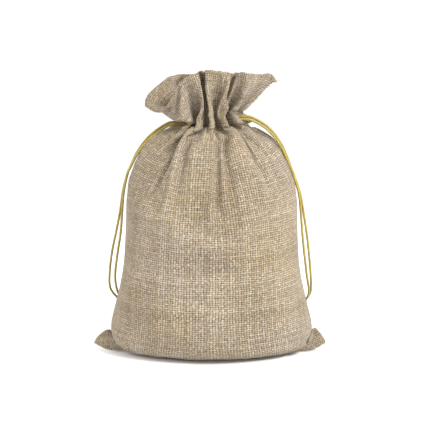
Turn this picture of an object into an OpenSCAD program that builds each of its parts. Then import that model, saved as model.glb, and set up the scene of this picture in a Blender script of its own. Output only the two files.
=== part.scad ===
// Drawstring gift pouch, filled and drawn closed, standing on its base.
// Millimetres, +Z up. The origin is on the floor, under the middle of the pouch.
// The front of the pouch faces -Y.

/* [Pouch] */
// Width of the filled pouch at its middle
body_w = 140; // [120:1:160]
// Depth of the filled pouch at its middle, front to back
body_d = 98; // [84:1:110]
// Width across the two bottom corners
ear_w = 191; // [182:1:200]
// Thickness of the cloth walls
cloth_t = 1; // [0.8:0.1:1.2]

/* [Neck and ruffle] */
// Width of the drawn neck
neck_w = 50; // [46:1:56]
// Depth of the drawn neck, front to back
neck_d = 38; // [36:1:42]
// Height of the neck's lower edge, in the middle
neck_z = 185; // [182:1:188]
// Lean of the neck, rising to the right
neck_tilt = 8.5; // [0:0.5:9]
// Height of the cord channel
channel_h = 12; // [11:1:14]
// Height of the ruffle above the channel
ruffle_h = 34; // [30:1:40]
// Width of the ruffle at its top edge
ruffle_w = 104; // [96:1:112]
// Depth of the ruffle at its top edge
ruffle_d = 76; // [70:1:84]
// How far the left end of the ruffle hangs down
left_droop = 16; // [0:1:20]
// Number of gathers in each half of the ruffle
gathers = 7; // [5:1:8]

/* [Cords] */
// Diameter of the drawcords
cord_d = 2; // [1.6:0.1:2.2]
// Diameter of the end knots
knot_d = 7; // [6:0.5:9]

/* [Hidden] */

cloth_color = "#b3a490";
seam_color = "#a08f78";
stitch_color = "#cdbfa8";
cord_color = "#b9a53a";

half_n = 24;                  // grid steps round half of the pouch
gap = 0.3;                    // clearance between the front and back halves of the mouth
lean = tan(neck_tilt);
lean_start = 158;             // height at which the shoulders start to lean with the neck
seam_steps = 2;               // grid steps of the seam allowance, each side of the side seam
seam_t = 1;                   // thickness of the folded seam allowance
bottom_seam_w = 8;            // width of the bottom seam allowance
tunnel = cord_d + 0.6;        // clear depth inside the cord channel
facing_d = cloth_t + tunnel;  // depth of the facing behind the channel's front
stitch_h = 1;                 // height of a row of stitching
run_gap = 1.7;                // height of each cord above or below the channel's middle

// Profile of the body, from the floor to the neck:
// height, share of body_w, share of body_d, roundness of the section (2 is an ellipse).
// The widths at the corners, 9 and 16 mm up, come from ear_w instead.
BODY = [
    [0, 0.84, 0, 2],
    [0, 0.88, 0.62, 2.1],
    [3, 1.12, 0.82, 1.7],
    [9, ear_w / body_w, 0.92, 1.25],
    [16, 0.93 * ear_w / body_w, 0.97, 1.5],
    [27, 1.16, 0.99, 1.9],
    [50, 1.09, 1, 2.2],
    [84, 1, 0.98, 2.3],
    [123, 0.985, 0.91, 2.3],
    [143, 0.92, 0.83, 2.2],
    [155, 0.845, 0.73, 2.1],
    [166, 0.76, 0.61, 2],
    [174, 0.68, 0.53, 2],
    [180, 0.57, 0.45, 2],
    [neck_z, neck_w / body_w, neck_d / body_d, 2]
];
body_rows = len(BODY) - 1;
body_sub = 2;                 // grid steps between two rows of the profile
seam_from = 2;                // profile row at which the side seam allowance starts
base_h = 20;                  // height below which the cloth's depth counts upwards as well as inwards

function superx(c, n) = sign(c) * pow(abs(c), 2 / n);
function row_mix(i, j, f) = BODY[i] * (1 - f) + BODY[j] * f;
function spline(p0, p1, p2, p3, f) =
    p1 + f * ((p2 - p0) / 2 + f * (p0 - 2.5 * p1 + 2 * p2 - p3 / 2
    + f * (1.5 * (p1 - p2) + (p3 - p0) / 2)));

// Profile at grid step v: straight near the floor, a smooth curve above it
function body_row(v) =
    let (t = v / body_sub, i = min(floor(t), body_rows - 1), f = t - i)
    i < seam_from
        ? row_mix(i, i + 1, f)
        : spline(BODY[i - 1], BODY[i], BODY[i + 1], BODY[min(i + 2, body_rows)], f);

function angle_at(u) = 180 * u / half_n;
function lean_share(z) = max(0, min(1, (z - lean_start) / (neck_z - lean_start)));

// Point of the body at grid step u round it (0 is the left side, half_n the right
// side, the front between them), step v up it, and depth d into the cloth
function body_point(u, v, d) =
    let (
        r = body_row(v),
        a = 180 + angle_at(u),
        base = max(0, 1 - r[0] / base_h),
        x = max(0, r[1] * body_w / 2 - d) * superx(cos(a), r[3]),
        y = max(0, r[2] * body_d / 2 - d) * superx(sin(a), r[3])
    )
    [x, abs(y) < 0.001 ? 0 : y, r[0] + d * base + x * lean * pow(lean_share(r[0]), 2)];

// Half-width and half-depth of the mouth at height h above the neck's lower edge
function flare(h) = pow(max(0, h - channel_h) / ruffle_h, 1.15);
function mouth_w(h) = neck_w / 2 + (ruffle_w - neck_w) / 2 * flare(h);
function mouth_d(h) = neck_d / 2 + (ruffle_d - neck_d) / 2 * flare(h);
wave_h = 3.5;                 // height of the gathers' waves at the top edge
level_share = 0.8;            // how far the ruffle's top edge levels out the neck's lean
droop_power = 4;              // how narrow the drooping left end is

// Point of the front half of the mouth at grid step u (0 left, half_n right), height h
// above the neck's lower edge, and depth d into the cloth
function mouth_point(u, h, d) =
    let (
        a = 180 + angle_at(u),
        wave = wave_h * flare(h) * cos(2 * gathers * angle_at(u)),
        x = (mouth_w(h) + wave - d) * cos(a),
        y = (mouth_d(h) + wave - d) * sin(a)
    )
    [
        x,
        y - gap / 2,
        neck_z + h + x * lean * (1 - level_share * flare(h))
            - left_droop * flare(h) * pow(max(0, -cos(a)), droop_power)
    ];

// Closed solid between an outer and an inner grid of points, each rows x columns.
// first is the grid step of the first column. The diagonals change direction at each
// quarter of the way round, so that neighbouring patches share their triangles.
module skin(outer, inner, first) {
    nr = len(outer);
    nc = len(outer[0]);
    m = nr * nc;
    points = concat([for (row = outer) each row], [for (row = inner) each row]);
    function at(r, c) = r * nc + c;
    function turned(c) = floor(2 * (first + c) / half_n) % 2 != 0;
    function cell(a, b, c, d, turn) = turn ? [[a, b, d], [d, b, c]] : [[a, c, d], [a, b, c]];
    faces = concat(
        [for (r = [0 : nr - 2], c = [0 : nc - 2])
            each cell(at(r, c), at(r + 1, c), at(r + 1, c + 1), at(r, c + 1), turned(c))],
        [for (r = [0 : nr - 2], c = [0 : nc - 2], f = [0 : 1])
            let (
                t = cell(at(r, c), at(r + 1, c), at(r + 1, c + 1), at(r, c + 1), turned(c))[f]
            )
            [m + t[0], m + t[2], m + t[1]]],
        [for (c = [0 : nc - 2]) each [
            [at(0, c), at(0, c + 1), m + at(0, c + 1)],
            [at(0, c), m + at(0, c + 1), m + at(0, c)],
            [at(nr - 1, c), m + at(nr - 1, c + 1), at(nr - 1, c + 1)],
            [at(nr - 1, c), m + at(nr - 1, c), m + at(nr - 1, c + 1)]
        ]],
        [for (r = [0 : nr - 2]) each [
            [at(r, 0), m + at(r + 1, 0), at(r + 1, 0)],
            [at(r, 0), m + at(r, 0), m + at(r + 1, 0)],
            [at(r, nc - 1), at(r + 1, nc - 1), m + at(r + 1, nc - 1)],
            [at(r, nc - 1), m + at(r + 1, nc - 1), m + at(r, nc - 1)]
        ]]
    );
    polyhedron(points = points, faces = faces, convexity = 10);
}

module body_patch(u0, u1, v0, v1, d0, d1) {
    skin(
        [for (v = [v0 : v1]) [for (u = [u0 : u1]) body_point(u, v, d0)]],
        [for (v = [v0 : v1]) [for (u = [u0 : u1]) body_point(u, v, d1)]],
        u0
    );
}

// A patch of the mouth over the heights in levels. depths gives the outer and the
// inner depth at each height.
module mouth_patch(u0, u1, levels, depths) {
    n = len(levels) - 1;
    skin(
        [for (i = [0 : n]) [for (u = [u0 : u1]) mouth_point(u, levels[i], depths[i][0])]],
        [for (i = [0 : n]) [for (u = [u0 : u1]) mouth_point(u, levels[i], depths[i][1])]],
        u0
    );
}

// Round tube swept along points. ref is a direction that the route never runs along.
tube_sides = 8;
function unit(v) = v / norm(v);
function heading(p, i) = unit(p[min(i + 1, len(p) - 1)] - p[max(i - 1, 0)]);
function tube_ring(c, t, ref) =
    let (a = unit(cross(t, ref)), b = cross(t, a))
    [for (k = [0 : tube_sides - 1])
        let (w = 360 * k / tube_sides)
        c + cord_d / 2 * (a * cos(w) + b * sin(w))];

module tube(points, ref = [0, 1, 0]) {
    n = len(points);
    m = tube_sides;
    rings = [for (i = [0 : n - 1]) each tube_ring(points[i], heading(points, i), ref)];
    faces = concat(
        [[for (k = [0 : m - 1]) k]],
        [for (i = [0 : n - 2], k = [0 : m - 1])
            let (a = i * m + k, b = i * m + (k + 1) % m)
            each [[a, a + m, b + m], [a, b + m, b]]],
        [[for (k = [m - 1 : -1 : 0]) (n - 1) * m + k]]
    );
    polyhedron(points = rings, faces = faces, convexity = 6);
}

// Cord routes, from the channel's exit over the shoulder (lead), and from the shoulder
// down to the knot (tail). The tail turns at the shoulder.
LEFT_FRONT_LEAD = [
    [-26.5, -1.6, 188.5], [-35, -1.6, 187.5], [-48, -1.6, 178.5], [-58.2, -1.6, 167], [-65.8, -1.6, 153.2]
];
LEFT_BACK_LEAD = [
    [-26.5, 1.6, 190], [-35, 1.6, 189.5], [-49, 1.6, 180], [-59.2, 1.6, 167.5], [-66.2, 1.6, 153.2]
];
LEFT_FRONT_TAIL = [
    [-67.4, -1.6, 149.8], [-70.8, -1.6, 135], [-72.5, -1, 118], [-74, 0, 101], [-77, 2, 83],
    [-79.5, 5, 65], [-79, 10, 52], [-76, 18, 41], [-71, 27, 32], [-67, 33, 25]
];
LEFT_BACK_TAIL = [
    [-67.8, 1.6, 149.8], [-71.8, 2, 135], [-74.5, 3, 118], [-78, 4, 101], [-82, 6, 83],
    [-84.5, 9, 65], [-84.5, 12, 52], [-80, 20, 42], [-73.5, 29, 33], [-68.5, 35, 26]
];
RIGHT_FRONT_LEAD = [
    [23.2, -11, 193.5], [31, -11.5, 193], [44, -10, 185.5], [54.7, -7.5, 172.5], [63.8, -5.5, 153.2]
];
RIGHT_BACK_LEAD = [
    [23.5, -8, 195], [32, -8, 194.7], [45.5, -6.5, 186.5], [56.2, -4.5, 172.5], [64.4, -3, 153.2]
];
RIGHT_FRONT_TAIL = [
    [65.5, -5.3, 149.3], [70.4, -5, 133], [72.4, -4, 116], [74, -4, 98], [76, -3, 81],
    [78.5, 2, 64], [81, 9, 50], [79.5, 18, 40], [73, 28, 32], [67, 35, 25]
];
RIGHT_BACK_TAIL = [
    [66.1, -2.7, 149.3], [71.7, -1.6, 133], [75, 0, 116], [78, 1, 98], [80.2, 3, 81],
    [82, 6, 64], [83, 12, 50], [81, 21, 41], [75, 31, 33], [69, 38, 26]
];
LEFT_KNOT = [-65, 36.5, 21.5];
RIGHT_KNOT = [65, 39, 21.5];
end_length = 12;              // length of the cord ends below a knot
end_spread = 22;              // angle of each cord end from the vertical

// ---- The bag -----------------------------------------------------------------------

module front_panel() {
    color(cloth_color) body_patch(0, half_n, 0, body_rows * body_sub, 0, cloth_t);
}

module back_panel() {
    color(cloth_color) mirror([0, 1, 0])
        body_patch(0, half_n, 0, body_rows * body_sub, 0, cloth_t);
}

// Folded allowance behind a side seam, centred on grid step u
module side_seam(u) {
    color(seam_color)
        body_patch(u - seam_steps, u + seam_steps, seam_from * body_sub,
            body_rows * body_sub - 1, cloth_t, cloth_t + seam_t);
}

module left_side_seam() {
    side_seam(0);
}

module right_side_seam() {
    side_seam(half_n);
}

module bottom_seam() {
    bottom_seam_l = 0.8 * body_w;  // stops short of the rounded corners of the base
    color(seam_color)
        translate([-bottom_seam_l / 2, -bottom_seam_w / 2, cloth_t])
            cube([bottom_seam_l, bottom_seam_w, seam_t]);
}

// ---- The mouth: channel, ruffle and the turned-in facing -----------------------------

left_slot = 1;                // grid steps left open beside the left seam for the cords
right_slot = 5;               // the same on the right, where the cords leave at the front
ruffle_levels = [for (k = [0 : 6]) channel_h + ruffle_h * k / 6];

module channel() {
    color(cloth_color)
        mouth_patch(left_slot, half_n - right_slot, [gap, channel_h / 2, channel_h],
            [for (k = [0 : 2]) [0, cloth_t]]);
}

module ruffle() {
    color(cloth_color)
        mouth_patch(0, half_n, ruffle_levels, [for (h = ruffle_levels) [0, cloth_t]]);
}

module facing() {
    levels = concat([gap, channel_h], [for (k = [1 : 6]) ruffle_levels[k]]);
    depth_at = [for (h = levels) h <= channel_h ? facing_d : cloth_t];
    color(seam_color)
        mouth_patch(0, half_n, levels, [for (d = depth_at) [d, d + cloth_t]]);
}

module stitching(h) {
    color(stitch_color)
        mouth_patch(left_slot, half_n - right_slot, [h, h + stitch_h],
            [for (k = [0 : 1]) [cloth_t, facing_d]]);
}

module front_channel() {
    channel();
}

module back_channel() {
    mirror([0, 1, 0]) channel();
}

module front_ruffle() {
    ruffle();
}

module back_ruffle() {
    mirror([0, 1, 0]) ruffle();
}

module front_facing() {
    facing();
}

module back_facing() {
    mirror([0, 1, 0]) facing();
}

module front_lower_stitching() {
    stitching(gap);
}

module back_lower_stitching() {
    mirror([0, 1, 0]) stitching(gap);
}

module front_upper_stitching() {
    stitching(channel_h - stitch_h);
}

module back_upper_stitching() {
    mirror([0, 1, 0]) stitching(channel_h - stitch_h);
}

// ---- The cords ----------------------------------------------------------------------

// The part of a cord inside one half of the channel, at height h
module cord_run(h) {
    run_step = 3;
    mid = cloth_t + tunnel / 2;
    route = [for (u = [left_slot : run_step : half_n - right_slot]) mouth_point(u, h, mid)];
    color(cord_color) tube(route, [0, 0, 1]);
}

module left_cord_front_run() {
    cord_run(channel_h / 2 - run_gap);
}

module left_cord_back_run() {
    mirror([0, 1, 0]) cord_run(channel_h / 2 - run_gap);
}

module right_cord_front_run() {
    cord_run(channel_h / 2 + run_gap);
}

module right_cord_back_run() {
    mirror([0, 1, 0]) cord_run(channel_h / 2 + run_gap);
}

module left_cord_front_lead() {
    color(cord_color) tube(LEFT_FRONT_LEAD);
}

module left_cord_back_lead() {
    color(cord_color) tube(LEFT_BACK_LEAD);
}

module right_cord_front_lead() {
    color(cord_color) tube(RIGHT_FRONT_LEAD);
}

module right_cord_back_lead() {
    color(cord_color) tube(RIGHT_BACK_LEAD);
}

module left_cord_front_tail() {
    color(cord_color) tube(LEFT_FRONT_TAIL);
}

module left_cord_back_tail() {
    color(cord_color) tube(LEFT_BACK_TAIL);
}

module right_cord_front_tail() {
    color(cord_color) tube(RIGHT_FRONT_TAIL);
}

module right_cord_back_tail() {
    color(cord_color) tube(RIGHT_BACK_TAIL);
}

module knot(centre) {
    color(cord_color) translate(centre) sphere(d = knot_d, $fn = 32);
}

module cord_ends(centre) {
    color(cord_color)
        for (lean_a = [-end_spread, end_spread])
            translate(centre)
                rotate([180, lean_a, 0])
                    translate([0, 0, knot_d / 2 - 0.5])
                        cylinder(d = cord_d, h = end_length, $fn = 24);
}

module left_knot() {
    knot(LEFT_KNOT);
}

module right_knot() {
    knot(RIGHT_KNOT);
}

module left_cord_ends() {
    cord_ends(LEFT_KNOT);
}

module right_cord_ends() {
    cord_ends(RIGHT_KNOT);
}

front_panel();
back_panel();
left_side_seam();
right_side_seam();
bottom_seam();
front_channel();
back_channel();
front_ruffle();
back_ruffle();
front_facing();
back_facing();
front_lower_stitching();
back_lower_stitching();
front_upper_stitching();
back_upper_stitching();
left_cord_front_run();
left_cord_back_run();
right_cord_front_run();
right_cord_back_run();
left_cord_front_lead();
left_cord_back_lead();
right_cord_front_lead();
right_cord_back_lead();
left_cord_front_tail();
left_cord_back_tail();
right_cord_front_tail();
right_cord_back_tail();
left_knot();
right_knot();
left_cord_ends();
right_cord_ends();
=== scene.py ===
"""The looks of a drawstring gift pouch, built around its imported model, in metres.

Two flat panels of linen-look cloth are gathered at the neck, filled from inside and settled by the cloth
solver. The rows and columns of that one settled grid then make each sewn piece of the pouch.
"""

import math

import bpy
import numpy as np
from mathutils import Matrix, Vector


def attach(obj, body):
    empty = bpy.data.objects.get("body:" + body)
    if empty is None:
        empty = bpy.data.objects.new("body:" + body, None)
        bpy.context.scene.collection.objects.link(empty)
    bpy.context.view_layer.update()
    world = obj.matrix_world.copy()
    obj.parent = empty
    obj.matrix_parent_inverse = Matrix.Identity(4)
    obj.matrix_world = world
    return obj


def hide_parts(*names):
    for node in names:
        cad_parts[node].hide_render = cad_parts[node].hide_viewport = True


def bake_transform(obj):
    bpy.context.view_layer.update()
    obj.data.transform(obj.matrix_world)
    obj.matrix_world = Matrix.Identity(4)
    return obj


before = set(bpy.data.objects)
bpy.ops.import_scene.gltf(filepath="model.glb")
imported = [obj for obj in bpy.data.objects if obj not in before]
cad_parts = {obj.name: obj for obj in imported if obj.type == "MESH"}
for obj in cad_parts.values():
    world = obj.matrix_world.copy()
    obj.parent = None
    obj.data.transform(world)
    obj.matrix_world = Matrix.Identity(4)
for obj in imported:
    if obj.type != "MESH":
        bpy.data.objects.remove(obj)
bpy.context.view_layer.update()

# ---- Camera -------------------------------------------------------------------------------------------
CAMERA_TARGET = Vector((0, 0, 0.118))
CAMERA_DISTANCE = 0.811
CAMERA_ELEVATION = math.radians(9)


def make_camera():
    data = bpy.data.cameras.new("camera")
    data.lens = 85
    data.sensor_width = 36
    camera = bpy.data.objects.new("camera", data)
    back = Vector((0, -math.cos(CAMERA_ELEVATION), math.sin(CAMERA_ELEVATION)))
    camera.location = CAMERA_TARGET + back * CAMERA_DISTANCE
    camera.rotation_euler = (-back).to_track_quat("-Z", "Y").to_euler()
    bpy.context.scene.collection.objects.link(camera)
    bpy.context.scene.camera = camera


# ---- Materials ----------------------------------------------------------------------------------------
THREAD_PITCH = 0.00175


class Shader:
    """A node material being built. Each call adds one node and gives back its output."""

    def __init__(self, name):
        self.material = bpy.data.materials.new(name)
        self.material.use_nodes = True
        self.tree = self.material.node_tree
        self.bsdf = self.tree.nodes["Principled BSDF"]

    def put(self, value, socket):
        if isinstance(value, bpy.types.NodeSocket):
            self.tree.links.new(value, socket)
        elif value is not None:
            socket.default_value = value

    def node(self, kind, settings, values, output=0):
        node = self.tree.nodes.new(kind)
        for key, value in settings.items():
            setattr(node, key, value)
        for key, value in values.items():
            self.put(value, node.inputs[key])
        return node.outputs[output]

    def math(self, operation, a, b=None, c=None):
        return self.node("ShaderNodeMath", {"operation": operation}, {0: a, 1: b, 2: c})

    def combine(self, x, y, z=0.0):
        return self.node("ShaderNodeCombineXYZ", {}, {0: x, 1: y, 2: z})

    def noise(self, vector, scale, detail=2.0, rough=0.5):
        values = {"Vector": vector, "Scale": scale, "Detail": detail, "Roughness": rough}
        return self.node("ShaderNodeTexNoise", {}, values)

    def random(self, x, y=0.0):
        place = self.combine(x, y)
        return self.node("ShaderNodeTexWhiteNoise", {"noise_dimensions": "2D"}, {"Vector": place})

    def span(self, value, low, high, to_low=0.0, to_high=1.0):
        values = {"Value": value, "From Min": low, "From Max": high, "To Min": to_low, "To Max": to_high}
        return self.node("ShaderNodeMapRange", {}, values)

    def mix(self, share, a, b, blend="MIX"):
        node = self.tree.nodes.new("ShaderNodeMix")
        node.data_type = "RGBA"
        node.blend_type = blend
        for key, value in ((0, share), (6, a), (7, b)):
            self.put(value, node.inputs[key])
        return node.outputs[2]

    def ramp(self, value, stops):
        node = self.tree.nodes.new("ShaderNodeValToRGB")
        ramp = node.color_ramp
        while len(ramp.elements) < len(stops):
            ramp.elements.new(0.5)
        for element, (place, colour) in zip(ramp.elements, stops):
            element.position = place
            element.color = (*colour, 1)
        self.put(value, node.inputs[0])
        return node.outputs[0]

    def bump(self, height, strength, distance):
        values = {"Height": height, "Strength": strength, "Distance": distance}
        self.put(self.node("ShaderNodeBump", {}, values), self.bsdf.inputs["Normal"])

    def flat_uv(self):
        """The two flat coordinates of the piece, in metres."""
        uv = self.node("ShaderNodeUVMap", {"uv_map": "flat"}, {})
        split = self.tree.nodes.new("ShaderNodeSeparateXYZ")
        self.put(uv, split.inputs[0])
        return split.outputs[0], split.outputs[1]


def thread_profile(sh, across, half_width):
    """A round thread's height from 0 at its edges to 1 at its middle."""
    share = sh.math("DIVIDE", across, half_width)
    inside = sh.math("SUBTRACT", 1.0, sh.math("MULTIPLY", share, share))
    return sh.math("SQRT", sh.math("MAXIMUM", inside, 0.0))


def weave_material(name, tint):
    """Coarse plain weave: uneven threads over and under each other, with painted shade darkening the uneven
    holes between them.
    """
    sh = Shader(name)
    u, v = sh.flat_uv()
    flat = sh.combine(u, v)
    wander_u = sh.span(sh.noise(flat, 90, 3), 0, 1, -0.55, 0.55)
    wander_v = sh.span(sh.noise(sh.combine(v, u, 3.0), 90, 3), 0, 1, -0.55, 0.55)
    warp = sh.math("MULTIPLY_ADD", u, 1 / THREAD_PITCH, wander_u)
    weft = sh.math("MULTIPLY_ADD", v, 1 / THREAD_PITCH, wander_v)
    warp_no, weft_no = sh.math("FLOOR", warp), sh.math("FLOOR", weft)
    warp_across = sh.math("SUBTRACT", sh.math("FRACT", warp), 0.5)
    weft_across = sh.math("SUBTRACT", sh.math("FRACT", weft), 0.5)
    warp_slub = sh.noise(sh.combine(sh.math("MULTIPLY", warp_no, 3.7), sh.math("MULTIPLY", weft, 0.11)), 1.0)
    weft_slub = sh.noise(sh.combine(sh.math("MULTIPLY", warp, 0.11), sh.math("MULTIPLY", weft_no, 5.3)), 1.0)
    warp_body = thread_profile(sh, warp_across, sh.span(warp_slub, 0.25, 0.75, 0.32, 0.44))
    weft_body = thread_profile(sh, weft_across, sh.span(weft_slub, 0.25, 0.75, 0.32, 0.44))
    warp_wave = sh.math("SINE", sh.math("MULTIPLY", sh.math("ADD", weft, warp_no), math.pi))
    weft_wave = sh.math("SINE", sh.math("MULTIPLY", sh.math("ADD", warp, weft_no), math.pi))
    warp_top = sh.math("MULTIPLY_ADD", warp_wave, 0.45, warp_body)
    weft_top = sh.math("MULTIPLY_ADD", weft_wave, -0.45, weft_body)
    height = sh.math("MAXIMUM", warp_top, weft_top)
    warp_shows = sh.math("GREATER_THAN", warp_top, weft_top)
    thread = sh.node(
        "ShaderNodeMix",
        {"data_type": "FLOAT"},
        {0: warp_shows, 2: sh.random(weft_no, 7.0), 3: sh.random(warp_no, 31.0)},
    )
    float_tone = sh.random(warp_no, weft_no)
    fibre = sh.noise(flat, 1300, 4, 0.75)
    patch = sh.noise(flat, 22, 4, 0.6)
    tone = sh.math("ADD", sh.math("MULTIPLY", thread, 0.1), sh.math("MULTIPLY", float_tone, 0.1))
    tone = sh.math("ADD", tone, sh.math("MULTIPLY", fibre, 0.6))
    tone = sh.math("ADD", tone, sh.math("MULTIPLY", patch, 0.2))
    stops = [
        (0.3, (0.12, 0.084, 0.048)),
        (0.45, (0.22, 0.172, 0.118)),
        (0.56, (0.325, 0.272, 0.206)),
        (0.7, (0.49, 0.44, 0.365)),
    ]
    colour = sh.ramp(tone, stops)
    colour = sh.mix(1.0, colour, (*tint, 1), "MULTIPLY")
    # Painted shade: the colour is darkened where the threads lie low, in the gaps and holes between them,
    # unevenly by noise.
    uneven = sh.span(sh.noise(flat, 650, 2), 0.25, 0.75, -0.4, 0.4)
    depth = sh.span(sh.math("ADD", height, uneven), 0.05, 1.15, 0.05, 1.15)
    hue = sh.span(sh.noise(flat, 14, 2), 0.35, 0.65, 0, 1)
    colour = sh.mix(hue, colour, sh.mix(1.0, colour, (1.0, 0.97, 0.86, 1), "MULTIPLY"))
    colour = sh.mix(1.0, colour, sh.combine(depth, depth, depth), "MULTIPLY")
    sh.put(colour, sh.bsdf.inputs["Base Color"])
    sh.put(sh.span(fibre, 0, 1, 0.82, 0.98), sh.bsdf.inputs["Roughness"])
    sh.put(0.12, sh.bsdf.inputs["Sheen Weight"])
    sh.put(0.25, sh.bsdf.inputs["Specular IOR Level"])
    relief = sh.math("MULTIPLY_ADD", fibre, 0.35, height)
    sh.bump(relief, 0.85, 0.0004)
    return sh.material


def cord_material():
    """Gold satin cord: fine bright filaments laid in a steep twist, with painted shade between the strands."""
    sh = Shader("gold_satin_cord")
    around, along = sh.flat_uv()
    lay = sh.math("MULTIPLY", along, -CORD_STRANDS / CORD_TWIST)
    turns = sh.math("MULTIPLY_ADD", around, CORD_STRANDS, lay)
    strand = sh.math("ABSOLUTE", sh.math("SUBTRACT", sh.math("FRACT", turns), 0.5))
    filament = sh.math("ADD", sh.math("MULTIPLY", around, 34.0), sh.math("MULTIPLY", along, 900.0))
    grain = sh.noise(sh.combine(filament, sh.math("MULTIPLY", along, 260.0)), 1.6, 3, 0.6)
    patch = sh.noise(sh.combine(around, sh.math("MULTIPLY", along, 60.0)), 3.0)
    tone = sh.math("ADD", sh.math("MULTIPLY", grain, 0.55), sh.math("MULTIPLY", patch, 0.45))
    stops = [(0.3, (0.14, 0.092, 0.008)), (0.5, (0.32, 0.24, 0.022)), (0.7, (0.52, 0.44, 0.085))]
    colour = sh.ramp(tone, stops)
    # Painted shade: the colour darkens in the grooves between the twisted strands.
    groove_shade = sh.span(strand, 0.3, 0.5, 1.0, 0.35)
    colour = sh.mix(1.0, colour, sh.combine(groove_shade, groove_shade, groove_shade), "MULTIPLY")
    sh.put(colour, sh.bsdf.inputs["Base Color"])
    sh.put(sh.span(grain, 0, 1, 0.28, 0.5), sh.bsdf.inputs["Roughness"])
    sh.put(0.3, sh.bsdf.inputs["Sheen Weight"])
    sh.bump(grain, 0.5, 0.00015)
    return sh.material


def thread_material():
    """Sewing thread: pale, slightly shiny, with the lay of its plies."""
    sh = Shader("sewing_thread")
    around, along = sh.flat_uv()
    lay = sh.math("ADD", sh.math("MULTIPLY", around, 2.0), sh.math("MULTIPLY", along, 1600.0))
    ply = sh.math("ABSOLUTE", sh.math("SUBTRACT", sh.math("FRACT", lay), 0.5))
    fuzz = sh.noise(sh.combine(around, sh.math("MULTIPLY", along, 2200.0)), 2.0, 3)
    colour = sh.ramp(fuzz, [(0.3, (0.33, 0.25, 0.16)), (0.7, (0.62, 0.53, 0.39))])
    shade = sh.span(ply, 0.0, 0.5, 1.0, 0.55)
    colour = sh.mix(1.0, colour, sh.combine(shade, shade, shade), "MULTIPLY")
    sh.put(colour, sh.bsdf.inputs["Base Color"])
    sh.put(sh.span(fuzz, 0, 1, 0.55, 0.8), sh.bsdf.inputs["Roughness"])
    sh.bump(ply, 0.5, 0.0001)
    return sh.material


def floor_material():
    """Plain pale floor with the faintest mottle."""
    sh = Shader("pale_floor")
    place = sh.node("ShaderNodeTexCoord", {}, {}, 3)
    colour = sh.ramp(sh.noise(place, 6.0), [(0.3, (0.935, 0.935, 0.94)), (0.7, (0.95, 0.95, 0.95))])
    sh.put(colour, sh.bsdf.inputs["Base Color"])
    sh.put(0.85, sh.bsdf.inputs["Roughness"])
    sh.put(0.1, sh.bsdf.inputs["Specular IOR Level"])
    return sh.material


# ---- Mesh helpers -------------------------------------------------------------------------------------
def mesh_object(name, points, faces, uvs, material):
    """A smooth mesh. uvs gives one (u, v) pair for each corner of each face, in order."""
    mesh = bpy.data.meshes.new(name)
    mesh.from_pydata([tuple(p) for p in points], [], faces)
    layer = mesh.uv_layers.new(name="flat")
    layer.data.foreach_set("uv", np.array(uvs, np.float32).ravel())
    mesh.polygons.foreach_set("use_smooth", [True] * len(mesh.polygons))
    mesh.materials.append(material)
    mesh.update()
    piece = bpy.data.objects.new(name, mesh)
    bpy.context.scene.collection.objects.link(piece)
    return piece


def unit(vectors):
    return vectors / np.maximum(np.linalg.norm(vectors, axis=-1, keepdims=True), 1e-12)


def smooth_line(points, step):
    """A Catmull-Rom curve through the points, at even steps along its length."""
    p = np.array(points, float)
    p = np.vstack([2 * p[0] - p[1], p, 2 * p[-1] - p[-2]])
    fine = []
    for a, b, c, d in zip(p[:-3], p[1:-2], p[2:-1], p[3:]):
        square, cube = 2 * a - 5 * b + 4 * c - d, 3 * b - a - 3 * c + d
        for t in np.linspace(0, 1, 24, endpoint=False):
            fine.append(0.5 * (2 * b + (c - a) * t + square * t**2 + cube * t**3))
    fine = np.array([*fine, p[-2]])
    along = np.concatenate([[0], np.cumsum(np.linalg.norm(np.diff(fine, axis=0), axis=1))])
    even = np.linspace(0, along[-1], max(3, round(along[-1] / step) + 1))
    return np.stack([np.interp(even, along, fine[:, k]) for k in range(3)], axis=1)


def tube_parts(centres, radius, sides=10, lobes=0, twist=1.0, lobe_depth=0.0, taper=0):
    """Points, faces and corner UVs of a closed tube. Its ends are domed over that many taper rings."""
    centres = np.array(centres, float)
    tangents = unit(np.gradient(centres, axis=0))
    side = np.cross(tangents[0], [0.31, 0.94, 0.11])
    rings, along = [], 0.0
    for k, (centre, tangent) in enumerate(zip(centres, tangents)):
        side = unit(side - tangent * side.dot(tangent))
        up = np.cross(tangent, side)
        if k:
            along += np.linalg.norm(centre - centres[k - 1])
        from_end = min(k, len(centres) - 1 - k)
        dome = math.sqrt(1 - (1 - (from_end + 0.35) / (taper + 0.35)) ** 2) if from_end < taper else 1.0
        for n in range(sides):
            turn = 2 * math.pi * n / sides
            wave = 1 + lobe_depth * math.cos(lobes * (turn - 2 * math.pi * along / twist))
            rings.append(centre + (side * math.cos(turn) + up * math.sin(turn)) * radius * dome * wave)
    count = len(centres)
    gaps = np.concatenate([[0], np.cumsum(np.linalg.norm(np.diff(centres, axis=0), axis=1))])
    faces, uvs = [], []
    for k in range(count - 1):
        for n in range(sides):
            m = (n + 1) % sides
            faces.append((k * sides + n, k * sides + m, (k + 1) * sides + m, (k + 1) * sides + n))
            for step_n, step_k in ((0, 0), (1, 0), (1, 1), (0, 1)):
                uvs.append(((n + step_n) / sides, gaps[k + step_k]))
    faces.append(tuple(reversed(range(sides))))
    faces.append(tuple((count - 1) * sides + n for n in range(sides)))
    uvs += [(0.5, 0.0)] * sides + [(0.5, gaps[-1])] * sides
    return rings, faces, uvs


def joined(name, parts, material):
    """One mesh object out of several (points, faces, uvs)."""
    points, faces, uvs = [], [], []
    for part_points, part_faces, part_uvs in parts:
        base = len(points)
        points += list(part_points)
        faces += [tuple(base + i for i in face) for face in part_faces]
        uvs += part_uvs
    return mesh_object(name, points, faces, uvs, material)


# ---- Cords --------------------------------------------------------------------------------------------
CORD_D = 0.002
CORD_STRANDS = 3
CORD_TWIST = 0.006
RING_STEP = 0.0008
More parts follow.
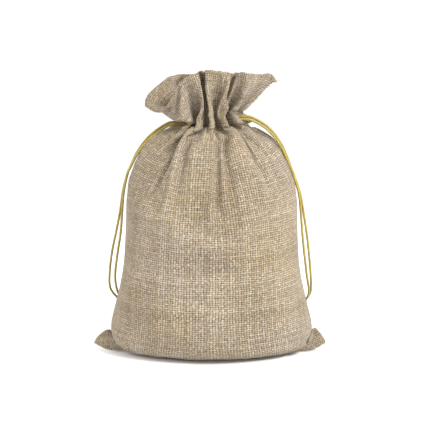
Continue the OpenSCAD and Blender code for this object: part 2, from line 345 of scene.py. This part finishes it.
# Each strand's route from its slot in the channel down to its knot, in millimetres
ROUTES = {
    "left_front": [
        (-26.5, -1.6, 188.5), (-35, -1.6, 187.5), (-48, -1.6, 178.5), (-58.2, -1.6, 167), (-65.8, -1.6, 153.2),
        (-67.4, -1.6, 149.8), (-70.8, -1.6, 135), (-72.5, -1, 118), (-74, 0, 101), (-77, 2, 83), (-79.5, 5, 65),
        (-79, 10, 52), (-76, 18, 41), (-71, 27, 32), (-67, 33, 25),
    ],
    "left_back": [
        (-26.5, 1.6, 190), (-35, 1.6, 189.5), (-49, 1.6, 180), (-59.2, 1.6, 167.5), (-66.2, 1.6, 153.2),
        (-67.8, 1.6, 149.8), (-71.8, 2, 135), (-74.5, 3, 118), (-78, 4, 101), (-82, 6, 83), (-84.5, 9, 65),
        (-84.5, 12, 52), (-80, 20, 42), (-73.5, 29, 33), (-68.5, 35, 26),
    ],
    "right_front": [
        (23.2, -11, 193.5), (31, -11.5, 193), (44, -10, 185.5), (54.7, -7.5, 172.5), (63.8, -5.5, 153.2),
        (65.5, -5.3, 149.3), (70.4, -5, 133), (72.4, -4, 116), (74, -4, 98), (76, -3, 81), (78.5, 2, 64),
        (81, 9, 50), (79.5, 18, 40), (73, 28, 32), (67, 35, 25),
    ],
    "right_back": [
        (23.5, -8, 195), (32, -8, 194.7), (45.5, -6.5, 186.5), (56.2, -4.5, 172.5), (64.4, -3, 153.2),
        (66.1, -2.7, 149.3), (71.7, -1.6, 133), (75, 0, 116), (78, 1, 98), (80.2, 3, 81), (82, 6, 64),
        (83, 12, 50), (81, 21, 41), (75, 31, 33), (69, 38, 26),
    ],
}
KNOTS = {"left": Vector((-0.065, 0.0365, 0.0215)), "right": Vector((0.065, 0.039, 0.0215))}
PIVOTS = {"left": Vector((-0.067, 0, 0.1512)), "right": Vector((0.065, -0.004, 0.151))}
BEND_REACH = 0.008
PIVOT_POINT = 6  # the point of each route that shows which way the strand hangs from its pivot
NECK_CORE_X = 0.009  # the hidden starts aim at this x, inside the neck
HIDDEN_START = 0.007  # how far each strand reaches into the neck from its slot
KNOT_R = 0.0022
END_LENGTH = 0.0115
END_SPREAD = math.radians(22)


def metres(points):
    return [tuple(c / 1000 for c in p) for p in points]


def cord_tube(centres, radius=CORD_D / 2, sides=12):
    return tube_parts(centres, radius, sides, CORD_STRANDS, CORD_TWIST, 0.09, 2)


def knot_parts(centre):
    """An overhand knot tied in both strands at once: two trefoils side by side."""
    parts = []
    for shift in (-0.45, 0.45):
        t = np.linspace(0, 2 * math.pi, 97)
        x = (np.sin(t) + 2 * np.sin(2 * t)) * KNOT_R / 3
        y = (np.cos(t) - 2 * np.cos(2 * t)) * KNOT_R / 3
        z = -np.sin(3 * t) * KNOT_R * 0.55
        path = np.stack([x + shift * CORD_D * 0.4, z * 1.2 + shift * CORD_D * 0.9, y * 1.15], axis=1)
        parts.append(cord_tube(path + np.array(centre), CORD_D * 0.42, 10))
    return parts


def end_paths(centre):
    """The two short ends below the knot, spread apart."""
    paths = []
    for lean in (-END_SPREAD, END_SPREAD):
        way = Vector((-math.sin(lean), 0, -math.cos(lean)))
        curl = Vector((math.copysign(0.0012, lean), -0.0006, 0))
        start = centre + way * 0.0018
        middle = centre + way * END_LENGTH * 0.6 + curl
        paths.append(smooth_line([start, middle, centre + way * (END_LENGTH + 0.0012)], RING_STEP))
    return paths


def frayed(rng, tip, way, count, length, radius, spread=0.5):
    """Loose fibres that fan out of a cut end."""
    parts = []
    way = Vector(way).normalized()
    for _ in range(count):
        out = Vector(rng.normal(0, spread, 3))
        bend = Vector(rng.normal(0, spread * 0.6, 3))
        size = length * rng.uniform(0.5, 1.1)
        points = [tip - way * 0.0008, tip + (way + out * 0.5) * size * 0.5, tip + (way + out + bend) * size]
        parts.append(tube_parts(smooth_line(points, length / 7), radius, 5, taper=1))
    return parts


def make_cords(material):
    rng = np.random.default_rng(11)
    for side in ("left", "right"):
        centre, pivot, tail = KNOTS[side], PIVOTS[side], f"{side}_tail"
        knot = joined(f"{side}_overhand_knot", knot_parts(centre), material)
        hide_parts(f"{side}_knot")
        ends = end_paths(centre)
        parts = [cord_tube(path) for path in ends]
        for path in ends:
            parts += frayed(rng, Vector(path[-1]), path[-1] - path[-3], 12, 0.0022, 0.00014)
        cut_ends = joined(f"{side}_cut_ends", parts, material)
        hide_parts(f"{side}_cord_ends")
        for piece in (knot, cut_ends):
            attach(piece, tail)
        for face in ("front", "back"):
            points = [*metres(ROUTES[f"{side}_{face}"]), tuple(centre)]
            slot = Vector(points[0])
            inside = slot + (Vector((NECK_CORE_X, 0, slot.z)) - slot).normalized() * HIDDEN_START
            path = smooth_line([tuple(inside), *points], RING_STEP)
            strand = joined(f"{side}_{face}_strand", [cord_tube(path)], material)
            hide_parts(f"{side}_cord_{face}_lead", f"{side}_cord_{face}_tail")
            below = Vector(ROUTES[f"{side}_{face}"][PIVOT_POINT]) / 1000 - pivot
            below = Vector((below.x, 0, below.z)).normalized() * BEND_REACH
            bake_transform(strand)


# ---- Cloth: the settled grid --------------------------------------------------------------------------
PANEL_W = 0.200  # flat width of each panel between its side seams
PANEL_H = 0.286  # flat height from the bottom seam to the folded hem
CHANNEL_V = 0.243  # flat height of the middle of the channel
CLOTH_T = 0.0007
LAYER_GAP = 0.0004  # between the heading and its facing
FLAT_CORD_D = 0.001  # the cord, squeezed between the channel's layers
COLS = 60  # grid columns across one panel
ROWS = 84
RING = 2 * COLS
ROW_H = PANEL_H / ROWS
NECK_ROW = round(CHANNEL_V / ROW_H)
SPLIT_ROW = NECK_ROW - 2  # the gathered row where the panels end and the heading begins
NECK_Z = 0.192
NECK_TILT = math.radians(8.5)
NECK_A, NECK_B = 0.019, 0.0115
NECK_FLARE = 0.1  # how much wider each row below the channel's middle is
ROW_DROP = 0.8  # how far each of them drops, as a share of a row
# Flat widths of the gathers round the neck from the left seam, first across the front, then the back
GATHERS = [36, 36, 29, 28, 32, 39, 40, 36, 42, 42, 40]
GATHER_DEPTH = 0.0084  # depth of a gather of average width
MAX_DEPTH = 0.0098
LEFT_LOBE = np.array([-0.006, -0.011, -0.009])  # how far the wide left lobe hangs out over the shoulder
RIGHT_LOBE = np.array([0.005, 0, -0.003])  # how far the right end flares out
# Where the hem runs, in millimetres: across the front from the left tip, then back behind
FRONT_HEM = [
    (-52.5, -2, 203), (-44, -12, 199), (-36, -20, 200), (-31, -25, 206), (-28, -26, 213), (-26, -27, 221),
    (-20.5, -29, 225), (-15, -28, 228), (-10, -23, 230), (-11.5, -12, 228), (-6, -15, 229.5), (-5, -22, 231),
    (1, -27, 232.5), (9, -27, 231.5), (13.5, -22, 230), (17, -10, 228), (20, -17, 230), (22.5, -24, 232),
    (28, -26, 232), (32, -20, 230), (34, -12, 228), (42, -10, 228), (48, -5, 228), (51.5, 0, 222),
]
BACK_HEM = [
    (51.5, 0, 222), (49, 8, 227), (40.5, 9, 225), (34.5, 17, 229), (37.5, 26, 229), (29, 31, 230),
    (21, 27, 230), (17.5, 18, 229), (11.5, 14, 229), (8, 23, 230), (8, 32, 231), (0, 37, 231),
    (-8, 33, 230), (-9, 23, 229), (-14.5, 15, 228), (-21, 20, 228), (-22, 30, 228), (-30, 32, 226),
    (-36, 24, 225), (-37, 14, 224.6), (-45, 10, 217), (-51, 5, 211), (-54, -2, 206),
]
# The lowest stretch of each side seam, from its corner on the floor, in millimetres
LEFT_CORNER = [(-97.5, 8), (-95, 13), (-89, 17.5), (-83, 22.5), (-79.5, 30)]
RIGHT_CORNER = [(95, 8), (93, 13), (88.5, 18), (84.5, 23), (82, 30)]
# The filling: height, half width and half depth in millimetres, and squareness
FILLING = [
    (3, 58, 24, 2.0), (6, 72, 33, 1.9), (11, 78, 40, 1.8), (18, 80, 44, 1.8), (25, 79.5, 46, 1.9),
    (33, 77.5, 47.5, 2.0), (48, 75, 48.5, 2.1), (63, 72.5, 49, 2.2), (83, 68.5, 49, 2.3), (103, 67.5, 48, 2.3),
    (126, 67.5, 45, 2.3), (143, 65, 41, 2.2), (157, 59.5, 36, 2.1), (168, 54, 29, 2.0), (176, 47, 22, 2.0),
    (181, 38, 16, 2.0), (184, 27, 11, 2.0), (186, 16, 6, 2.0),
]
# Broad folds in the upper part of the filling: angle and half width in radians, height as a share
FOLDS = [(4.05, 0.36, -0.3), (4.56, 0.16, 0.1), (4.85, 0.12, -0.24), (5.12, 0.15, 0.08), (5.42, 0.14, -0.22)]
SOLVER_SCALE = 10  # the cloth solver works at ten times life size
GATHER_FRAME = 24
FILL_FRAME = 18
LAST_FRAME = 40


def vertex(i, j):
    """Index of the grid's vertex. The lowest row is shared by both panels."""
    i %= RING
    if j == 0:
        return min(i, RING - i)
    return COLS + 1 + (j - 1) * RING + i


def flat_x(i):
    i %= RING
    return -PANEL_W / 2 + PANEL_W * (i if i <= COLS else RING - i) / COLS


def neck_point(share):
    """A point on the gathered neck, at this share of the way round from the left seam."""
    edges = np.cumsum([0, *GATHERS]) / sum(GATHERS)
    k = min(int(np.searchsorted(edges, share, side="right")) - 1, len(GATHERS) - 1)
    width = (edges[k + 1] - edges[k]) * len(GATHERS)
    phase = (share - edges[k]) / (edges[k + 1] - edges[k])
    depth = min(GATHER_DEPTH * width, MAX_DEPTH)
    turn = math.pi * (1 + 2 * share)
    turn += 0.35 * math.sin(4 * math.pi * phase) * (2 * math.pi / len(GATHERS)) * 0.25 * width
    out = unit(np.array([math.cos(turn) / NECK_A, math.sin(turn) / NECK_B, 0]))
    edge = np.array([NECK_A * math.cos(turn), NECK_B * math.sin(turn), 0])
    return edge + out * depth * math.cos(2 * math.pi * phase)


def hem_lines():
    return [smooth_line(metres(line), 0.0005) for line in (FRONT_HEM, BACK_HEM)]


def guide_weight(share, rise):
    """How firmly the heading is held to its guide: firmest along the hem and near the side seams."""
    weight = 0.04 + 0.86 * rise**5
    weight += 0.35 * max(0, 1 - min(share, 1 - share) / 0.2) ** 0.5
    weight += 0.2 * max(0, 1 - abs(share - 0.5) / 0.1)
    return weight


def gather_targets():
    """Where the pinned and guided vertices go, as {vertex: (place, weight)}."""
    targets = {}
    lines = hem_lines()
    for i in range(RING):
        share = i / RING
        line = lines[0] if share < 0.5 else lines[1]
        hem = line[round((share * 2 % 1) * (len(line) - 1))]
        neck = neck_point(share)
        for j in range(SPLIT_ROW, ROWS + 1):
            rise = max(0.0, (j - NECK_ROW) / (ROWS - NECK_ROW))
            below = max(0, NECK_ROW - j)
            ring = neck * (1 + NECK_FLARE * below)
            ring[2] = NECK_Z + ring[0] * math.tan(NECK_TILT) - below * ROW_H * ROW_DROP
            point = ring * (1 - rise**0.9) + hem * rise**0.9
            if share < 0.25:
                across = math.sin(math.pi * min(1, share / 0.24)) ** 1.5
                point += LEFT_LOBE * (across * math.sin(math.pi * min(1, rise * 1.2)))
            if 0.38 < share < 0.62:
                across = math.sin(math.pi * (share - 0.38) / 0.24)
                point += RIGHT_LOBE * (across * math.sin(math.pi * rise))
            targets[vertex(i, j)] = (point, guide_weight(share, rise) if j > NECK_ROW else 1.0)
    for i in range(COLS + 1):
        x = flat_x(i)
        lift = 0.0075 * min(1, max(0, (abs(x) - 0.080) / 0.020)) ** 2.5
        targets[vertex(i, 0)] = (np.array([x * (0.97 if x < 0 else 0.946), 0, 0.0012 + lift]), 1.0)
    for corner, i in ((LEFT_CORNER, 0), (RIGHT_CORNER, COLS)):
        path = np.array([(x / 1000, 0, z / 1000) for x, z in corner])
        along = np.concatenate([[0], np.cumsum(np.linalg.norm(np.diff(path, axis=0), axis=1))])
        for j in range(int(along[-1] / ROW_H) + 1):
            place = np.array([np.interp(j * ROW_H, along, path[:, k]) for k in range(3)])
            targets[vertex(i, j)] = (place, 1.0 if j * ROW_H < along[-1] * 0.7 else 0.5)
    return targets


def start_place(i, j):
    """The loose sack from which the gathering starts."""
    v = j * ROW_H
    spread = math.sin(min(1, v / 0.060) * math.pi / 2)
    turn = math.pi * (1 + i / COLS)
    wide = 0.100 * (1 - spread) + 0.080 * spread
    return (wide * math.cos(turn), 0.042 * spread * math.sin(turn), v * 0.98 + 0.002)


def scratch_object(name, points, faces):
    mesh = bpy.data.meshes.new(name)
    mesh.from_pydata([tuple(np.array(p) * SOLVER_SCALE) for p in points], [], faces)
    thing = bpy.data.objects.new(name, mesh)
    bpy.context.scene.collection.objects.link(thing)
    return thing


def filling_object():
    """The filling that swells inside the pouch and gives it its body."""
    around = 64
    points = []
    for z, a, b, square in FILLING:
        for k in range(around):
            turn = 2 * math.pi * k / around
            c, s = math.cos(turn), math.sin(turn)
            lump = 1 + 0.012 * math.sin(3 * turn + z / 50 + 1) * math.sin(z / 15 + turn)
            high = min(1, max(0, (z - 110) / 50))
            for centre, half_width, height in FOLDS:
                lump += high * height * math.exp(-(((turn - centre) / half_width) ** 2))
            x = math.copysign(abs(c) ** (2 / square), c) * a * lump
            y = math.copysign(abs(s) ** (2 / square), s) * b * lump
            points.append((x / 1000, y / 1000, z / 1000))
    faces = []
    for r in range(len(FILLING) - 1):
        for k in range(around):
            m = (k + 1) % around
            faces.append((r * around + k, r * around + m, (r + 1) * around + m, (r + 1) * around + k))
    faces.append(tuple(reversed(range(around))))
    faces.append(tuple((len(FILLING) - 1) * around + k for k in range(around)))
    filling = scratch_object("filling", points, faces)
    filling.scale = (0.45, 0.15, 0.85)
    filling.keyframe_insert("scale", frame=1)
    filling.scale = (1, 1, 1)
    filling.keyframe_insert("scale", frame=FILL_FRAME)
    return filling


def add_collision(thing, friction):
    thing.modifiers.new("collision", "COLLISION")
    thing.collision.thickness_outer = 0.01
    thing.collision.cloth_friction = friction


def cloth_settings(modifier, rest_shape):
    s = modifier.settings
    s.quality = 8
    s.mass = 0.3
    s.air_damping = 3
    s.tension_stiffness = s.compression_stiffness = 40
    s.shear_stiffness = 10
    s.bending_stiffness = 1
    s.vertex_group_bending = "heading"
    s.bending_stiffness_max = 6
    s.tension_damping = s.compression_damping = s.shear_damping = 5
    s.bending_damping = 0.5
    s.vertex_group_mass = "guided"
    s.pin_stiffness = 1
    s.rest_shape_key = rest_shape
    s.use_pressure = True
    s.uniform_pressure_force = 0.3
    s.vertex_group_pressure = "filled"
    c = modifier.collision_settings
    c.distance_min = 0.01
    c.collision_quality = 2
    c.use_self_collision = True
    c.self_distance_min = 0.012
    c.self_friction = 5
    c.vertex_group_self_collisions = "lower"


def settle_cloth():
    """Gathers, fills and settles the pouch. Gives the grid's places, [row, column], in metres."""
    spots = [(i, j) for j in range(ROWS + 1) for i in range(COLS + 1 if j == 0 else RING)]
    faces = [
        (vertex(i, j), vertex(i + 1, j), vertex(i + 1, j + 1), vertex(i, j + 1))
        for j in range(ROWS)
        for i in range(RING)
    ]
    sack = scratch_object("sack", [start_place(i, j) for i, j in spots], faces)
    sack.shape_key_add(name="start")
    flat = sack.shape_key_add(name="flat")
    for n, (i, j) in enumerate(spots):
        flat.data[n].co = np.array([flat_x(i), -0.0001 if i <= COLS else 0.0001, j * ROW_H]) * SOLVER_SCALE
    gathered = sack.shape_key_add(name="gathered")
    groups = {name: sack.vertex_groups.new(name=name) for name in ("guided", "filled", "heading", "lower")}
    for n, (place, weight) in gather_targets().items():
        gathered.data[n].co = place * SOLVER_SCALE
        groups["guided"].add([n], min(1, weight), "REPLACE")
    for n, (i, j) in enumerate(spots):
        fill = min(1.0, max(0.0, (0.185 - j * ROW_H) / 0.06))
        if fill > 0:
            groups["filled"].add([n], fill, "REPLACE")
        if j >= SPLIT_ROW:
            groups["heading"].add([n], 1, "REPLACE")
        if j < 0.55 * ROWS:
            groups["lower"].add([n], 1, "REPLACE")
    for value, when in ((0, 1), (1, GATHER_FRAME)):
        gathered.value = value
        gathered.keyframe_insert("value", frame=when)
    filling = filling_object()
    corners = [(-0.5, -0.5, 0), (0.5, -0.5, 0), (0.5, 0.5, 0), (-0.5, 0.5, 0)]
    ground = scratch_object("ground", corners, [(0, 1, 2, 3)])
    add_collision(filling, 1)
    add_collision(ground, 30)
    cloth = sack.modifiers.new("cloth", "CLOTH")
    cloth_settings(cloth, flat)
    scene = bpy.context.scene
    scene.frame_start, scene.frame_end = 1, LAST_FRAME
    cloth.point_cache.frame_start, cloth.point_cache.frame_end = 1, LAST_FRAME
    for when in range(1, LAST_FRAME + 1):
        scene.frame_set(when)
    settled = sack.evaluated_get(bpy.context.evaluated_depsgraph_get())
    places = np.array([v.co for v in settled.data.vertices]) / SOLVER_SCALE
    for thing in (sack, filling, ground):
        bpy.data.objects.remove(thing)
    scene.frame_set(1)
    return np.array([[places[vertex(i, j)] for i in range(RING)] for j in range(ROWS + 1)])


# ---- Cloth: the sewn pieces ---------------------------------------------------------------------------
def outward(grid):
    """Unit normals of the grid, pointing out of the pouch."""
    across = np.roll(grid, -1, axis=1) - np.roll(grid, 1, axis=1)
    up = np.gradient(grid, axis=0)
    normals = unit(np.cross(across, up))
    normals[0] = normals[1]
    return normals


def surface(grid, column, row):
    """The smooth cloth surface at a fractional column and row, by cubic B-splines."""
    def weights(t):
        return np.array([(1 - t) ** 3, 3 * t**3 - 6 * t**2 + 4, -3 * t**3 + 3 * t**2 + 3 * t + 1, t**3]) / 6

    i, j = math.floor(column), math.floor(row)
    wi, wj = weights(column - i), weights(row - j)
    total = np.zeros(3)
    for b in range(4):
        for a in range(4):
            total += wi[a] * wj[b] * grid[min(max(j - 1 + b, 0), ROWS), (i - 1 + a) % RING]
    return total


def off_surface(grid, column, row, distance):
    """The point this far outside the cloth's middle surface."""
    side = surface(grid, column + 0.1, row) - surface(grid, column - 0.1, row)
    up = surface(grid, column, row + 0.1) - surface(grid, column, row - 0.1)
    return surface(grid, column, row) + unit(np.cross(side, up)) * distance


def sheet_piece(name, block, columns, rows, material):
    """A cloth piece from a block of places [row, column], subdivided and given thickness."""
    height, width = block.shape[:2]
    faces, uvs = [], []
    for r in range(height - 1):
        for c in range(width - 1):
            faces.append((r * width + c, r * width + c + 1, (r + 1) * width + c + 1, (r + 1) * width + c))
            for dr, dc in ((0, 0), (0, 1), (1, 1), (1, 0)):
                uvs.append((columns[c + dc] * PANEL_W / COLS, rows[r + dr] * ROW_H))
    piece = mesh_object(name, block.reshape(-1, 3), faces, uvs, material)
    smooth = piece.modifiers.new("smooth", "SUBSURF")
    smooth.levels = smooth.render_levels = 1
    smooth.boundary_smooth = "PRESERVE_CORNERS"
    thick = piece.modifiers.new("thickness", "SOLIDIFY")
    thick.thickness = CLOTH_T
    thick.offset = -1
    return piece


def open_with_mouth(piece):
    """Bakes the piece's transform into its mesh."""
    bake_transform(piece)


def follow_mouth(piece):
    """Bakes the piece's transform into its mesh."""
    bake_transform(piece)


def half(face):
    """The grid columns of one panel, from seam to seam."""
    return list(range(COLS + 1)) if face == "front" else list(range(COLS, RING + 1))


def make_panel(grid, face, material):
    columns, rows = half(face), list(range(SPLIT_ROW + 1))
    block = grid[: SPLIT_ROW + 1][:, [c % RING for c in columns]]
    panel = sheet_piece(f"{face}_panel_cloth", block, columns, rows, material)
    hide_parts(f"{face}_panel")
    follow_mouth(panel)
    return panel


def make_heading(grid, inner, face, material):
    """The outer layer of the heading, up to the hem and folded over it."""
    columns = half(face)
    ring = [c % RING for c in columns]
    outer = grid[SPLIT_ROW:][:, ring]
    top, inside = outer[-1], inner[-1][ring]
    up = unit(outer[-1] - outer[-2])
    fold = (top + inside) / 2 + up * 0.0006
    block = np.concatenate([outer, fold[None], inside[None]])
    rows = [*range(SPLIT_ROW, ROWS + 1), ROWS + 0.35, ROWS + 0.7]
    heading = sheet_piece(f"{face}_heading_cloth", block, columns, rows, material)
    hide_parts(f"{face}_channel", f"{face}_ruffle")
    open_with_mouth(heading)
    return heading


def make_facing(inner, face, material):
    """The turned-in layer inside the heading, down to the lower stitching."""
    columns = half(face)
    block = inner[SPLIT_ROW:][:, [c % RING for c in columns]]
    rows = [2 * ROWS - r for r in range(SPLIT_ROW, ROWS + 1)]
    facing = sheet_piece(f"{face}_facing_cloth", block, columns, rows, material)
    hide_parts(f"{face}_facing")
    open_with_mouth(facing)
    return facing


def make_stitches(grid, face, row_name, v, material):
    """A row of lockstitches that dips through the cloth between each stitch."""
    stitch, gap = 0.0026, 0.0009
    column_w = PANEL_W / COLS
    first = 0 if face == "front" else COLS
    parts = []
    place = gap
    while place + stitch < PANEL_W - gap:
        points = []
        for share in (0.0, 0.12, 0.3, 0.5, 0.7, 0.88, 1.0):
            column = first + (place + stitch * share) / column_w
            points.append(off_surface(grid, column, v / ROW_H, 0.0003 * math.sin(math.pi * share) - 0.0001))
        parts.append(tube_parts(points, 0.00026, 6, taper=1))
        place += stitch + gap
    row = joined(f"{face}_{row_name}_stitches", parts, material)
    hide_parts(f"{face}_{row_name}_stitching")
    open_with_mouth(row)


def make_run(grid, side, face, material):
    """The part of a cord that lies inside the channel, pressed between its layers."""
    height = CHANNEL_V / ROW_H + (-0.3 if side == "left" else 0.3)
    first = 0 if face == "front" else COLS
    columns = np.linspace(first + 2, first + COLS - 2, 4 * COLS)
    middle = -(CLOTH_T + LAYER_GAP) * 0.75
    points = [off_surface(grid, column, height, middle) for column in columns]
    run = joined(f"{side}_{face}_run", [cord_tube(points, FLAT_CORD_D / 2, 8)], material)
    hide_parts(f"{side}_cord_{face}_run")
    open_with_mouth(run)


def make_side_seam(grid, side, material):
    """The two seam allowances, turned into the pouch along the side."""
    column = 0 if side == "left" else COLS
    block, widths = [], (0.0, 0.003, 0.006, 0.0085)
    lowest_side = COLS - 2 if column else 2
    for j in range(SPLIT_ROW):
        corner = grid[j, column]
        sides = [grid[j, (column + step) % RING if j else lowest_side] for step in (2, -2)]
        across = (sides[0] + sides[1]) / 2 - corner
        inward = unit(across - np.array([math.copysign(0.002, corner[0]), 0, 0]))
        block.append([corner + inward * (w + 0.0003) for w in widths])
    columns = [column - w / (PANEL_W / COLS) for w in widths]
    seam = sheet_piece(f"{side}_seam_allowance", np.array(block), columns, list(range(SPLIT_ROW)), material)
    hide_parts(f"{side}_side_seam")
    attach(seam, "bag")


def make_bottom_seam(grid, material):
    """The bottom seam allowances, standing up inside the pouch."""
    columns = list(range(3, COLS - 2))
    block = []
    for lift in (0.0006, 0.003, 0.0055, 0.008):
        block.append([grid[0, c] + np.array([0, 0, lift]) for c in columns])
    rows = [0, 0.9, 1.6, 2.3]
    seam = sheet_piece("bottom_seam_allowance", np.array(block), columns, rows, material)
    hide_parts("bottom_seam")
    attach(seam, "bag")


def make_loose_threads(grid, material):
    """Short frayed threads where the seam's raw edge comes out at the right end of the hem."""
    rng = np.random.default_rng(5)
    parts = []
    for _ in range(16):
        row = ROWS - rng.uniform(0, 3.5)
        tip = surface(grid, COLS + rng.uniform(-1.2, 1.2), row)
        way = Vector((1.0, rng.normal(0, 0.4), 0.5 + rng.normal(0, 0.5)))
        parts += frayed(rng, Vector(tip), way, 1, rng.uniform(0.002, 0.0045), 0.00022)
    threads = joined("loose_threads", parts, material)
    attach(threads, "bag")


def make_pouch(materials):
    grid = settle_cloth()
    inner = grid - outward(grid) * (CLOTH_T + LAYER_GAP)
    for face in ("front", "back"):
        make_panel(grid, face, materials["cloth"])
        make_heading(grid, inner, face, materials["cloth"])
        make_facing(inner, face, materials["shaded_lining"])
        for row_name, v in (("lower", 0.2395), ("upper", 0.2490)):
            make_stitches(grid, face, row_name, v, materials["thread"])
        for side in ("left", "right"):
            make_run(grid, side, face, materials["cord"])
    for side in ("left", "right"):
        make_side_seam(grid, side, materials["shaded_lining"])
    make_bottom_seam(grid, materials["shaded_lining"])
    make_loose_threads(grid, materials["thread"])


# ---- Floor and light ----------------------------------------------------------------------------------
def make_stage():
    mesh = bpy.data.meshes.new("floor")
    reach = 6.0
    corners = [(-reach, -reach, 0), (reach, -reach, 0), (reach, reach, 0), (-reach, reach, 0)]
    mesh.from_pydata(corners, [], [(0, 1, 2, 3)])
    mesh.materials.append(floor_material())
    floor = bpy.data.objects.new("floor", mesh)
    bpy.context.scene.collection.objects.link(floor)


def area_light(name, place, size, energy, colour=(1, 1, 1)):
    data = bpy.data.lights.new(name, "AREA")
    data.energy = energy
    data.size = size
    data.color = colour
    light = bpy.data.objects.new(name, data)
    light.location = place
    light.rotation_euler = (Vector((0, 0, 0.1)) - light.location).to_track_quat("-Z", "Y").to_euler()
    bpy.context.scene.collection.objects.link(light)


def make_light():
    world = bpy.data.worlds.new("studio")
    world.use_nodes = True
    background = world.node_tree.nodes["Background"]
    background.inputs[0].default_value = (1, 1, 1, 1)
    background.inputs[1].default_value = 1.08
    bpy.context.scene.world = world
    area_light("key", (0.8, -0.75, 0.95), 0.4, 23)
    area_light("fill", (-1.0, -0.2, 0.5), 0.6, 5, (1, 0.96, 0.88))
    bpy.context.scene.view_settings.view_transform = "Standard"


def main():
    make_camera()
    cord = cord_material()
    make_cords(cord)
    materials = {
        "cloth": weave_material("linen_weave", (1.0, 1.0, 1.0)),
        # The inside pieces get a darker copy of the same weave: painted shade for lying inside the pouch.
        "shaded_lining": weave_material("linen_weave_inside_painted_shade", (0.92, 0.90, 0.87)),
        "thread": thread_material(),
        "cord": cord,
    }
    make_pouch(materials)
    make_stage()
    make_light()


main()
